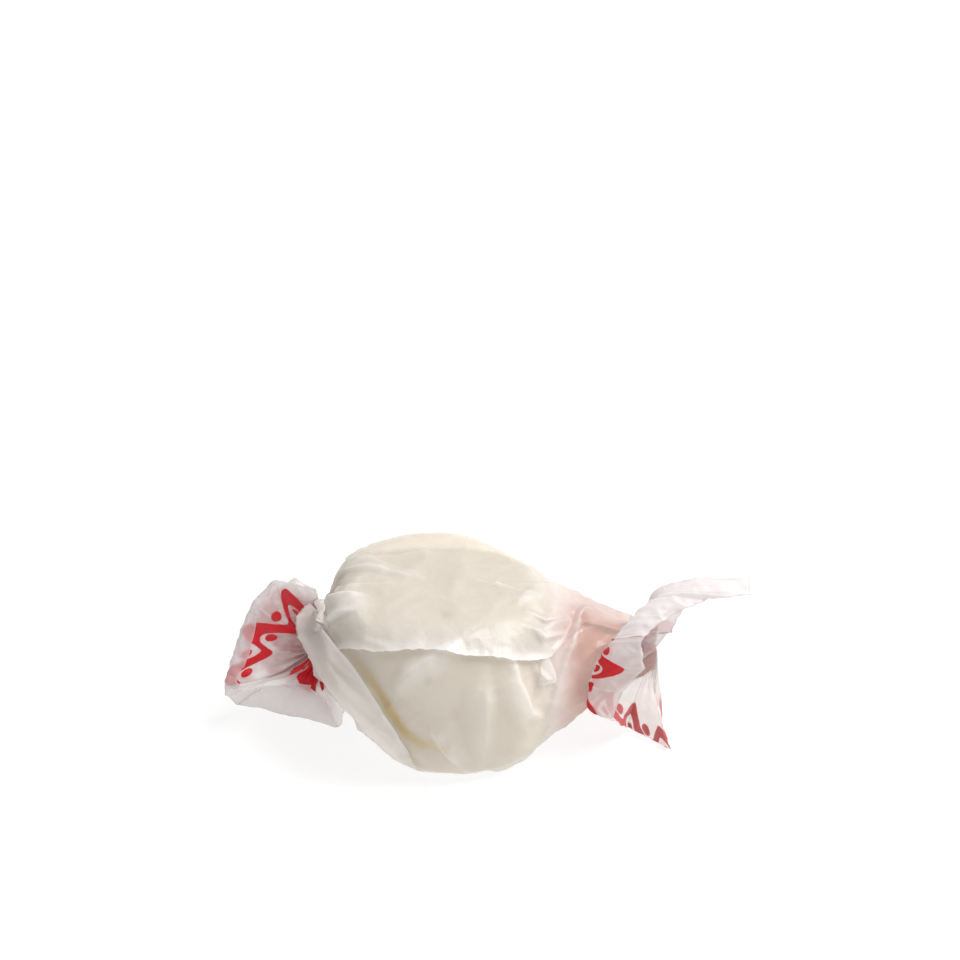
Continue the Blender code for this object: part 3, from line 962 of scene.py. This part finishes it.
def fold_ray(neck, size, outward, start_turn, fold):
    """Points along one fold, from inside the neck to the cut edge."""
    turn, middle, tip, _ = fold
    swing = turn_from(start_turn, turn)
    begin = np.array([0.0, neck_radius(size, math.radians(start_turn)) * NECK_SHARE])
    middle, tip = np.array(middle) * MM, np.array(tip) * MM
    bend = 2 * middle - (begin + tip) / 2
    t = np.linspace(0, 1, RAY_ROWS)[:, None]
    out, away = (begin * (1 - t) ** 2 + bend * 2 * t * (1 - t) + tip * t**2).T
    away = away * (1 - NECK_PINCH * np.exp(-t[:, 0] / PINCH_SHARE))
    swung = np.sin(np.minimum(1, 2 * t[:, 0]) * math.pi / 2)
    angle = np.radians(start_turn + swing * swung)
    return np.stack(
        [neck + outward * out, away * np.cos(angle), AXIS_HEIGHT + away * np.sin(angle)], axis=1
    )


def fan_sheet(neck, size, outward, folds):
    """The paper of one fan as an array of columns, rows and (x, y, z), and what is turned
    under at the end of each column. The last column repeats the first."""
    first_turn = folds[0][0]
    rays = [
        fold_ray(neck, size, outward, first_turn + 360 * i / len(folds), fold)
        for i, fold in enumerate(folds)
    ]
    columns = []
    for first, second in zip(rays, rays[1:] + rays[:1]):
        across = second - first
        width = np.linalg.norm(across, axis=1, keepdims=True)
        normal = np.cross(across / width, np.gradient(first + second, axis=0))
        normal /= np.linalg.norm(normal, axis=1, keepdims=True)
        for share in np.arange(PANEL_COLUMNS) / PANEL_COLUMNS:
            bulge = normal * width * PANEL_BULGE * 4 * share * (1 - share)
            columns.append(first + across * share + bulge)
    under = np.array([fold[3] for fold in folds + folds[:1]])
    places = np.arange(len(columns)) / PANEL_COLUMNS
    change = np.diff(under)[places.astype(int)]
    share = np.where(np.abs(change) > TURNED_OVER, places % 1 > 0.5, places % 1)
    tucked = under[places.astype(int)] + change * share
    return np.array(columns + columns[:1]), np.append(tucked, under[-1])


def across_and_out(sheet, tucked, middle):
    """Millimetres of paper: round the fan, measured where its border runs, and back from the
    cut edge. The way round is stretched a little to hold whole waves of the border."""
    strides = np.linalg.norm(np.diff(sheet, axis=1), axis=2)
    out = np.cumsum(strides[:, ::-1], axis=1)[:, ::-1] / MM
    out = np.column_stack([out, np.zeros(len(sheet))]) + tucked[:, None]
    rows = np.argmin(np.abs(out - middle), axis=1)
    course = sheet[np.arange(len(sheet)), rows]
    steps = np.linalg.norm(np.diff(course, axis=0), axis=1) / MM
    across = np.concatenate([[0], np.cumsum(steps)])
    across *= BORDER_WAVE * round(across[-1] / BORDER_WAVE) / across[-1]
    return np.stack([np.broadcast_to(across[:, None], out.shape), out], axis=2)


def sheet_normals(sheet):
    """The direction square to a fan's paper at each of its points."""
    around = np.roll(sheet[:-1], -1, axis=0) - np.roll(sheet[:-1], 1, axis=0)
    normal = np.cross(around, np.gradient(sheet[:-1], axis=1))
    normal /= np.linalg.norm(normal, axis=2, keepdims=True) + 1e-12
    return np.concatenate([normal, normal[:1]])


def crumpled(sheet, uv, tucked, seed):
    """The same sheet with small pleats from the neck, crumpled facets and a ragged cut edge, and
    for each point how white along a crest it is and whether the paper is doubled there."""
    normal = sheet_normals(sheet)
    columns, rows = sheet.shape[:2]
    t = np.linspace(0, 1, rows)
    phase = np.arange(columns) / PANEL_COLUMNS * FAN_PLEATS
    pleat = np.abs((phase % 1) - 0.5) * 4 - 1
    depth = FAN_PLEAT_DEPTH * np.sin(np.minimum(1, t / FAN_PLEAT_START) * math.pi / 2)
    depth = depth * np.exp(-FAN_PLEAT_FADE * t)
    height = pleat[:, None] * depth[None, :]
    crest = np.zeros((columns, rows))
    sizes = [(size, deep, shift + seed) for size, deep, shift in FAN_PANELS]
    for i in range(columns - 1):
        height[i] += crumple(sheet[i], sizes) * t
        crest[i] = FOLD_CREST if i % PANEL_COLUMNS == 0 else 0
    height[-1], crest[-1] = height[0], crest[0]
    bent = sheet + normal * height[:, :, None]
    ahead = np.gradient(sheet, axis=1)
    ahead /= np.linalg.norm(ahead, axis=2, keepdims=True)
    ragged = wobble(uv[:, 0, 0], RAGGED_SIZE, seed)
    ragged[-1] = ragged[0]
    bent += ahead * (RAGGED * ragged[:, None] * t**RAGGED_FADE)[:, :, None]
    bent[:, :, 2] = np.maximum(bent[:, :, 2], FAN_FLOOR)
    crest = np.maximum(crest, np.exp(-(uv[:, :, 1] - uv[:, -1:, 1]) / EDGE_WHITE))
    doubled = np.repeat(np.interp(tucked, DOUBLED, (0, 1))[:, None], rows, axis=1)
    return np.concatenate([bent, crest[:, :, None], doubled[:, :, None]], axis=2)


def border_dot(beside, above):
    """1 on a round dot, at millimetres beside and above its middle."""
    square = BORDER_DOT**2
    return 1 - (beside * beside + above * above).rise(square - INK_EDGE, square + INK_EDGE)


def border_ink(across, out, middle):
    """1 on the printed border and 0 elsewhere: a wave with a swelling stroke, and dots."""
    turn = across * (2 * math.pi / BORDER_WAVE)
    above = out - middle
    swell = abs((turn * 0.5 + 0.5).sine())
    pen = BORDER_PEN + BORDER_SWELL * swell * swell
    wave = abs(above - (turn + math.pi / 2).sine() * BORDER_SWING)
    beside = across.pingpong(BORDER_WAVE / 2)
    high = border_dot(beside, above + DOT_PLACE)
    low = border_dot(beside - BORDER_WAVE / 2, above - DOT_PLACE)
    stroke = 1 - (wave * WAVE_LEAN - pen).rise(-INK_EDGE, INK_EDGE)
    return stroke.greater(high).greater(low)


def fan_material(name, middle, ink_share, blush_share, cover):
    """Paper of a fan: a share of its printed border, whose middle is at millimetres from the cut
    edge, and of the blush of the ink wound inside, darkened as painted shade, over paper that
    covers a share of what is behind it. Ink is opaque and dull, and lets no light through."""
    material, start = new_material(name)
    place = start.make("ShaderNodeTexCoord", {}, output="Object")
    uv = start.make("ShaderNodeUVMap", {}, uv_map="paper")
    crest, doubled = (start.mark(name) for name in FAN_MARKS)
    across = start.make("ShaderNodeSeparateXYZ", {0: uv}, output="X")
    out = start.make("ShaderNodeSeparateXYZ", {0: uv}, output="Y")
    cloud = place.grain(PAPER_CLOUDS)
    ink = border_ink(across, out, middle) * ink_share
    near_border = out.rise(middle - BLUSH_BAND[0], middle - BLUSH_BAND[1])
    blush = near_border * cloud.rise(0.15, 0.6) * blush_share
    # Pink blush: ink seen through, with painted shade
    paper = (blush * (1 - crest)).tint(FAN_WHITE, FAN_PINK_SHADE)
    colour = ink.tint(paper, PRINT_RED)
    thick = BLUSH_COVER * blush + CREST_COVER * crest + DOUBLED_COVER * doubled
    coverage = (cover + CLOUD_COVER * (cloud - 0.5) + thick).greater(ink)
    bump = paper_bump(start, place)
    light = FAN_LIGHT - (INK_SHADE * ink).greater(BLUSH_SHADE * blush)
    coat = FAN_COAT - INK_DULL * ink
    rough = FAN_ROUGHNESS + CLOUD_ROUGHNESS * cloud
    paper_surface(start, colour, coverage, bump, rough, coat, light, FAN_GLOW)
    return material


def make_hem(name, fan_paper, uv, middle):
    """The cut edge of a fan turned over: a strip that lies on the front of the fan's paper."""
    first, last = (fold * PANEL_COLUMNS for fold in HEM_FOLDS)
    folds = range(HEM_FOLDS[0], HEM_FOLDS[1] + 1)
    normal = sheet_normals(fan_paper[:, :, :3])
    share = np.linspace(0, 1, HEM_ROWS)
    stand = HEM_LIFT * np.sin(np.minimum(1, share / HEM_RISE) * math.pi / 2) + HEM_CURL * share**4
    strip = np.zeros((last - first + 1, HEM_ROWS, 3 + len(FAN_MARKS)))
    strip_uv = np.zeros((last - first + 1, HEM_ROWS, 2))
    for i, column in enumerate(range(first, last + 1)):
        place = uv[column, 0, 0]
        wide = np.interp(column / PANEL_COLUMNS, folds, HEM_WIDTHS)
        wide *= 1 + HEM_RAGGED * wobble([place], HEM_RAGGED_SIZE, HEM_SEED)[0]
        from_edge = (uv[column, :, 1] - uv[column, -1, 1])[::-1]
        for axis in range(3):
            level = np.interp(share * wide, from_edge, fan_paper[column, ::-1, axis])
            lean = np.interp(share * wide, from_edge, normal[column, ::-1, axis])
            strip[i, :, axis] = level - lean * stand
        fold_white = np.exp(-share * wide / EDGE_WHITE)
        strip[i, :, 3] = np.maximum(fold_white, np.exp(-(1 - share) * wide / HEM_WHITE))
        strip_uv[i] = np.column_stack([np.full(HEM_ROWS, place), -share * wide])
    strip[:, :, 2] = np.maximum(strip[:, :, 2], FAN_FLOOR)
    shape = sheet_shape(strip, FAN_MARKS)
    lay_uv(shape, strip_uv)
    plain = fan_material(name + "_plain", middle, 0.0, HEM_BLUSH, HEM_COVER)
    hem = new_piece(name, shape, [plain])
    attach(hem, "root")
    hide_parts("wrapped_taffy")


def thicken(piece):
    """Gives a fan's paper its thickness, with its other side in the second material slot."""
    solid = piece.modifiers.new("thickness", "SOLIDIFY")
    solid.thickness = PAPER_THICKNESS
    solid.offset = 0.0
    solid.material_offset = 1
    solid.use_even_offset = False


def make_fan(name, neck, size, outward, folds, seed, middle, blush_share, ink_share):
    """A fan from its folds, on the left where outward is -1 and on the right where it is 1, with
    the middle of its border at millimetres from the cut edge. The left one gets a hem."""
    flat, tucked = fan_sheet(neck, size, outward, folds)
    uv = across_and_out(flat, tucked, middle)
    fan_paper = crumpled(flat, uv, tucked, seed)
    if outward < 0:
        make_hem(name + "_hem", fan_paper, uv, middle)
    shape = sheet_shape(fan_paper, FAN_MARKS)
    lay_uv(shape, uv)
    middle_of_twist = Vector((neck, 0, AXIS_HEIGHT))
    pole = [corner for corner in shape.verts if (corner.co - middle_of_twist).length < POLE]
    bmesh.ops.pointmerge(shape, verts=pole, merge_co=middle_of_twist)
    bmesh.ops.remove_doubles(shape, verts=shape.verts, dist=SEAM)
    if outward < 0:
        bmesh.ops.reverse_faces(shape, faces=shape.faces)
    printed = fan_material(name + "_printed", middle, ink_share, blush_share, PRINTED_COVER)
    ink_behind = BEHIND_INK * ink_share
    behind = fan_material(name + "_from_behind", middle, ink_behind, blush_share, BEHIND_COVER)
    fan = new_piece(name, shape, [printed, behind])
    thicken(fan)
    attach(fan, "root")
    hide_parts("wrapped_taffy")


make_fan(
    "left_fan", LEFT_NECK, LEFT_NECK_SIZE, -1, LEFT_FOLDS,
    seed=5.0, middle=4.4, blush_share=1.0, ink_share=1.0,
)
make_fan(
    "right_fan", RIGHT_NECK, RIGHT_NECK_SIZE, 1, RIGHT_FOLDS,
    seed=9.0, middle=5.0, blush_share=0.03, ink_share=1.0,
)
make_fan(
    "inner_fan", RIGHT_NECK, RIGHT_NECK_SIZE, 1, INNER_FOLDS,
    seed=3.0, middle=2.0, blush_share=0.15, ink_share=0.4,
)

# The studio: a plain pale floor under one wide soft lamp, with even light from all round. The
# floor is dull and glows, so that it stays an even white under a faint shadow.
FLOOR_SIZE = 1.6
KEY_PLACE = (0.25, 0.05, 0.38)
KEY_SIZE = 0.28
KEY_WATTS = 2.5
SKY_STRENGTH = 0.48
SKY_WHITE = (1.0, 0.99, 0.98, 1.0)
FLOOR_GLOW = 0.80
FLOOR_CLOUDS = 30.0
FLOOR_GREY = ((0.24, 0.24, 0.24, 1.0), (0.26, 0.26, 0.26, 1.0))


def floor_material():
    material, start = new_material("white_table")
    place = start.make("ShaderNodeTexCoord", {}, output="Object")
    shade = place.grain(FLOOR_CLOUDS).tint(*FLOOR_GREY)
    surface = start.make(
        "ShaderNodeBsdfPrincipled",
        {
            "Base Color": shade,
            "Roughness": 0.9,
            "Emission Color": (1.0, 1.0, 1.0, 1.0),
            "Emission Strength": FLOOR_GLOW,
        },
    )
    start.make("ShaderNodeOutputMaterial", {"Surface": surface})
    return material


floor_shape = bmesh.new()
bmesh.ops.create_grid(floor_shape, x_segments=1, y_segments=1, size=FLOOR_SIZE)
floor = new_piece("table", floor_shape, [floor_material()])

key_light = bpy.data.lights.new("key", "AREA")
key_light.size = KEY_SIZE
key_light.energy = KEY_WATTS
key = bpy.data.objects.new("key", key_light)
key.location = KEY_PLACE
key.rotation_euler = (-Vector(KEY_PLACE)).to_track_quat("-Z", "Y").to_euler()
bpy.context.scene.collection.objects.link(key)

world = bpy.data.worlds.new("studio")
world.use_nodes = True
sky = world.node_tree.nodes["Background"]
sky.inputs["Color"].default_value = SKY_WHITE
sky.inputs["Strength"].default_value = SKY_STRENGTH
bpy.context.scene.world = world
bpy.context.scene.view_settings.view_transform = "Standard"

# The camera: a long lens 33 degrees above the table. The pack's foot, at the origin, lies at
# a known place in the 960 pixel frame, at 11 pixels a millimetre.
VIEW_DOWN = math.radians(33)
VIEW_DISTANCE = 400 * MM
PIXELS_PER_MM = 11.0
FRAME_PIXELS = 960
ORIGIN_PIXEL = (437, 711)
SENSOR_WIDTH = 36.0

right = Vector((1, 0, 0))
forward = Vector((0, math.cos(VIEW_DOWN), -math.sin(VIEW_DOWN)))
up = Vector((0, math.sin(VIEW_DOWN), math.cos(VIEW_DOWN)))
aside = (ORIGIN_PIXEL[0] - FRAME_PIXELS / 2) / PIXELS_PER_MM * MM
above = (FRAME_PIXELS / 2 - ORIGIN_PIXEL[1]) / PIXELS_PER_MM * MM
camera_data = bpy.data.cameras.new("camera")
camera_data.sensor_width = SENSOR_WIDTH
camera_data.lens = SENSOR_WIDTH * VIEW_DISTANCE / MM * PIXELS_PER_MM / FRAME_PIXELS
camera = bpy.data.objects.new("camera", camera_data)
camera.location = -(right * aside + up * above + forward * VIEW_DISTANCE)
camera.rotation_euler = (math.pi / 2 - VIEW_DOWN, 0, 0)
bpy.context.scene.collection.objects.link(camera)
bpy.context.scene.camera = camera
